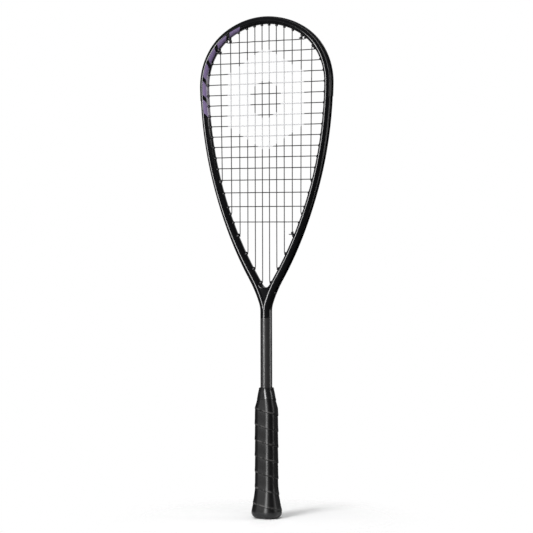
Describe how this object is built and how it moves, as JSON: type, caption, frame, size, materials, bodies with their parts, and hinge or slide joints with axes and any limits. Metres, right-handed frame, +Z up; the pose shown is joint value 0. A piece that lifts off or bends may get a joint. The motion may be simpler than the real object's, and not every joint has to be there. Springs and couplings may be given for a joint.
{
  "type": "squash racket",
  "caption": "Strung squash racket with a teardrop head, slim shaft, spiral-wrapped grip and flared butt.",
  "frame": {"origin": "middle of the butt's end face, where the racket stands", "axes": "+Z up the shaft to the tip of the head, X across the head, -Y towards the front hitting face; strings in the plane Y = 0"},
  "size_m": [0.2104, 0.036, 0.6858],
  "materials": {
    "carbon_frame": "carbon fibre moulding, gloss black lacquer on the head and satin charcoal on the shaft",
    "throat_web": "gloss black lacquer",
    "grommet": "moulded black nylon",
    "side_strip": "moulded black nylon",
    "bumper": "moulded black nylon, fine satin",
    "string": "black multifilament string with a thin coating",
    "string_knot": "black string, tied",
    "pallet_foam": "moulded rigid foam",
    "plug_foam": "soft foam",
    "butt_cap": "moulded black plastic, satin",
    "grip": "tacky black polyurethane grip tape, spiral wrapped",
    "vinyl_tape": "black vinyl tape",
    "collar_rubber": "smooth black rubber",
    "steel_wire": "bright wire"
  },
  "bodies": {
    "root": {"bumper_guard": "bumper", "butt_cap": "butt_cap", "cap_staple_back": "steel_wire", "cap_staple_front": "steel_wire", "cross_knot_throat": "string_knot", "cross_knot_top": "string_knot", "cross_string": "string", "finishing_tape": "vinyl_tape", "frame": "carbon_frame", "grip_tack": "steel_wire", "grip_tape": "grip", "grommet_strip_left": "side_strip", "grommet_strip_right": "side_strip", "handle_pallet": "pallet_foam", "main_knot_left": "string_knot", "main_knot_right": "string_knot", "main_string": "string", "rubber_collar": "collar_rubber", "throat_grommet_left_1": "grommet", "throat_grommet_left_2": "grommet", "throat_grommet_left_3": "grommet", "throat_grommet_left_4": "grommet", "throat_grommet_right_1": "grommet", "throat_grommet_right_2": "grommet", "throat_grommet_right_3": "grommet", "throat_grommet_right_4": "grommet", "throat_web": "throat_web", "tube_plug_left": "plug_foam", "tube_plug_right": "plug_foam"}
  },
  "joints": []
}
